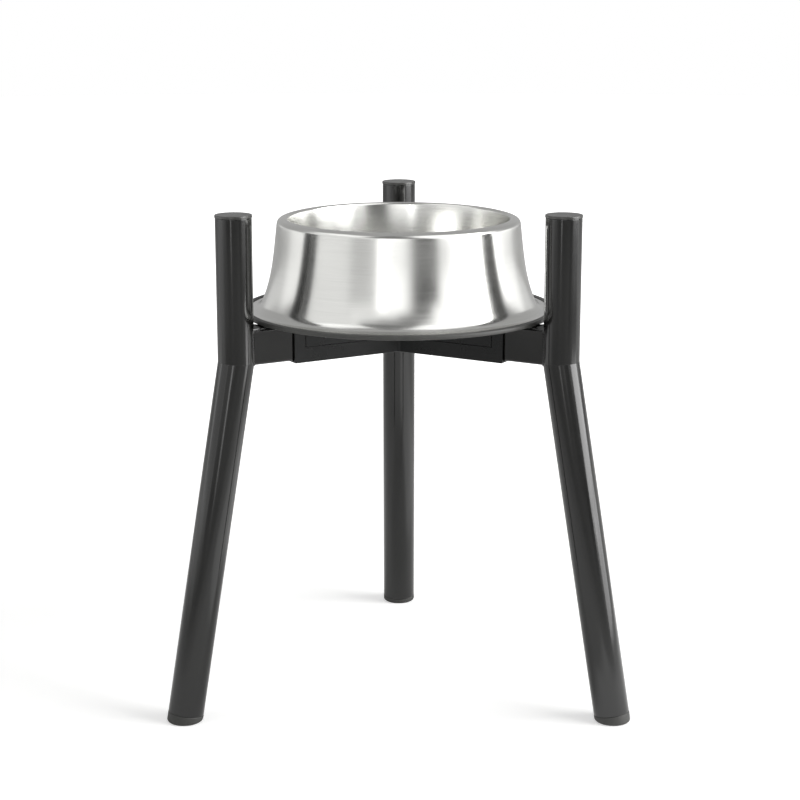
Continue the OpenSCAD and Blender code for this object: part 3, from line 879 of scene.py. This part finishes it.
def layered(tree, level, panels, bearing, reach, unit):
    """Level with panels laid over it. A panel covers what is under it by the product of two smooth
    steps, one of the angle from its bearing and one of the reach past its limit."""
    for centre, half, fade, limit, soft, value in panels:
        off = add(tree, "ShaderNodeMath", {0: bearing, 1: math.radians(centre)},
                  operation="SUBTRACT")
        off = add(tree, "ShaderNodeMath", {0: off.outputs["Value"], 1: math.pi, 2: -math.pi},
                  operation="WRAP")
        off = add(tree, "ShaderNodeMath", {0: off.outputs["Value"]}, operation="ABSOLUTE")
        across = add(tree, "ShaderNodeMapRange",
                     {"Value": off.outputs["Value"], "From Min": math.radians(half),
                      "From Max": math.radians(half + fade), "To Min": 1.0, "To Max": 0.0},
                     interpolation_type="SMOOTHSTEP")
        up = add(tree, "ShaderNodeMapRange",
                 {"Value": reach, "From Min": limit * unit, "From Max": (limit + soft) * unit,
                  "To Min": 1.0, "To Max": 0.0}, interpolation_type="SMOOTHSTEP")
        cover = add(tree, "ShaderNodeMath",
                    {0: across.outputs["Result"], 1: up.outputs["Result"]}, operation="MULTIPLY")
        level = add(tree, "ShaderNodeMix", {"Factor": cover.outputs["Value"], "A": level,
                                            "B": value}).outputs["Result"]
    return level


def studio(scene, stage):
    """World: white where the camera looks, a soft even fill for diffuse light, and for reflections
    a grey room with pale and dark panels, placed by bearing and elevation."""
    world = bpy.data.worlds.new("studio")
    world.use_nodes = True
    scene.world = world
    tree = world.node_tree
    back = tree.nodes["Background"]
    split, bearing = bearing_of(tree, add(tree, "ShaderNodeTexCoord").outputs["Generated"])
    rise = add(tree, "ShaderNodeMath", {0: split.outputs["Z"]}, operation="ARCSINE")
    room = layered(tree, ROOM, PANELS, bearing, rise.outputs["Value"], math.radians(1))
    ray = add(tree, "ShaderNodeLightPath")
    sharp = add(tree, "ShaderNodeMath",
                {0: ray.outputs["Is Glossy Ray"], 1: ray.outputs["Is Transmission Ray"]},
                operation="MAXIMUM").outputs["Value"]
    level = add(tree, "ShaderNodeMix", {"Factor": sharp, "A": stage.fill, "B": room})
    level = add(tree, "ShaderNodeMix", {"Factor": ray.outputs["Is Camera Ray"],
                                        "A": level.outputs["Result"], "B": 1.0})
    back.inputs["Color"].default_value = WHITE
    tree.links.new(level.outputs["Result"], back.inputs["Strength"])


def softbox(name, bearing, distance, height, wide, tall, watts, lights):
    """Upright area lamp at a bearing to the right of the camera, turned towards the stand. Unless
    it lights, only reflections show it."""
    data = bpy.data.lights.new(name, "AREA")
    data.shape = "RECTANGLE"
    data.size, data.size_y, data.energy = wide, tall, watts
    lamp = bpy.data.objects.new(name, data)
    b = math.radians(bearing)
    lamp.location = (distance * math.sin(b), -distance * math.cos(b), height)
    lamp.rotation_euler = (QUARTER, 0, b)
    lamp.visible_camera = False
    lamp.visible_diffuse = lights
    bpy.context.scene.collection.objects.link(lamp)


def floor_disc(reach):
    """Mesh of a flat disc whose rings have radii that grow with the square of their number."""
    r = reach * np.linspace(0, 1, FLOOR_RINGS)[1:, None] ** 2
    a = around(FLOOR_SIDES)
    rings = np.stack([r * np.cos(a), r * np.sin(a), 0 * r * a], -1)
    ids = 1 + np.arange(rings[..., 0].size).reshape(rings.shape[:2])
    on = np.roll(ids, -1, 1)
    quads = np.stack([ids[:-1], ids[1:], on[1:], on[:-1]], -1).reshape(-1, 4)
    middle = np.stack([0 * ids[0], ids[0], on[0]], -1)
    mesh = bpy.data.meshes.new("studio_floor")
    mesh.from_pydata([(0, 0, 0)] + rings.reshape(-1, 3).tolist(), [],
                     quads.tolist() + middle.tolist())
    return mesh


def floor_paint(stage):
    """Matt white paper of the floor. Reflections show it darkened by painted shade and brightened
    by a painted glow, both by bearing and distance. The camera sees it a little brighter than it is
    lit, and white further out."""
    material, tree, shader = blank("matt_white_floor", Roughness=0.9)
    place = add(tree, "ShaderNodeTexCoord").outputs["Object"]
    out = add(tree, "ShaderNodeVectorMath", {0: place}, operation="LENGTH").outputs["Value"]
    bearing = bearing_of(tree, place)[1]
    ray = add(tree, "ShaderNodeLightPath")
    # Painted shade: reflections see the floor's colour darkened by bearing and distance
    shade = add(tree, "ShaderNodeMix",
                {"Factor": ray.outputs["Is Glossy Ray"], "A": 1.0,
                 "B": layered(tree, 1.0, PAINTED_REFLECTION_SHADE, bearing, out, 1.0)})
    tone = add(tree, "ShaderNodeHueSaturation",
               {"Color": (*stage.floor, 1.0), "Value": shade.outputs["Result"]})
    tree.links.new(tone.outputs["Color"], shader.inputs["Base Color"])
    lift = add(tree, "ShaderNodeMapRange",
               {"Value": out, "From Min": NEAR, "From Max": FAR,
                "To Min": stage.lift, "To Max": 1.0}, interpolation_type="SMOOTHSTEP")
    share = add(tree, "ShaderNodeMath",
                {0: ray.outputs["Is Camera Ray"], 1: lift.outputs["Result"]},
                operation="MULTIPLY")
    # Painted glow: reflections see the floor glow by bearing and distance, though no lamp is there
    level = add(tree, "ShaderNodeMix",
                {"Factor": ray.outputs["Is Glossy Ray"], "A": share.outputs["Value"],
                 "B": layered(tree, 0.0, PAINTED_REFLECTION_GLOW, bearing, out, 1.0)})
    glow = add(tree, "ShaderNodeEmission", {"Color": WHITE, "Strength": level.outputs["Result"]})
    both = add(tree, "ShaderNodeAddShader",
               {0: shader.outputs["BSDF"], 1: glow.outputs["Emission"]})
    tree.links.new(both.outputs[0], tree.nodes["Material Output"].inputs["Surface"])
    return material


class FEEDER_OT_stage(Operator):
    """Builds the floor, the lamps, the world and the camera"""
    bl_idname = "feeder.stage"
    bl_label = "Stage"

    def execute(self, context):
        scene = context.scene
        stage = scene.feeder_stage
        mesh = floor_disc(stage.floor_reach)
        mesh.materials.append(floor_paint(stage))
        floor = bpy.data.objects.new("studio_floor", mesh)
        scene.collection.objects.link(floor)

        studio(scene, stage)
        for name, values in LAMPS.items():
            softbox(name, *values)

        data = bpy.data.cameras.new("camera")
        data.lens, data.sensor_width, data.clip_end = stage.lens, SENSOR, SIGHT
        camera = bpy.data.objects.new("camera", data)
        camera.location = stage.eye
        camera.rotation_euler = (QUARTER - stage.pitch, 0, 0)
        scene.collection.objects.link(camera)
        scene.camera = camera
        scene.view_settings.view_transform = "Standard"
        return {"FINISHED"}


GROUPS = {
    "feeder_tubes": FeederTubes,
    "feeder_bowl": FeederBowl,
    "feeder_fasteners": FeederFasteners,
    "feeder_colours": FeederColours,
    "feeder_stage": FeederStage,
}
OPERATORS = (FEEDER_OT_tubes, FEEDER_OT_caps, FEEDER_OT_feet, FEEDER_OT_arms, FEEDER_OT_hub,
             FEEDER_OT_screws, FEEDER_OT_bowl, FEEDER_OT_base, FEEDER_OT_stage)


class FEEDER_PT_panel(Panel):
    """Lists the pieces of the feeder and their sizes"""
    bl_label = "Dog feeder"
    bl_space_type = "VIEW_3D"
    bl_region_type = "UI"
    bl_category = "Feeder"

    def draw(self, context):
        for operator in OPERATORS:
            self.layout.operator(operator.bl_idname)
        for name in GROUPS:
            box = self.layout.box()
            group = getattr(context.scene, name)
            for key in group.__annotations__:
                box.prop(group, key)


def register():
    for cls in (*GROUPS.values(), *OPERATORS, FEEDER_PT_panel):
        bpy.utils.register_class(cls)
    for name, cls in GROUPS.items():
        setattr(bpy.types.Scene, name, PointerProperty(type=cls))


def unregister():
    for name in GROUPS:
        delattr(bpy.types.Scene, name)
    for cls in (FEEDER_PT_panel, *OPERATORS[::-1], *list(GROUPS.values())[::-1]):
        bpy.utils.unregister_class(cls)


def main():
    register()
    bpy.ops.feeder.stage()
    bpy.ops.feeder.tubes()
    bpy.ops.feeder.caps()
    bpy.ops.feeder.feet()
    bpy.ops.feeder.arms()
    bpy.ops.feeder.hub()
    bpy.ops.feeder.screws()
    bpy.ops.feeder.bowl()
    bpy.ops.feeder.base()


if __name__ == "__main__":
    main()
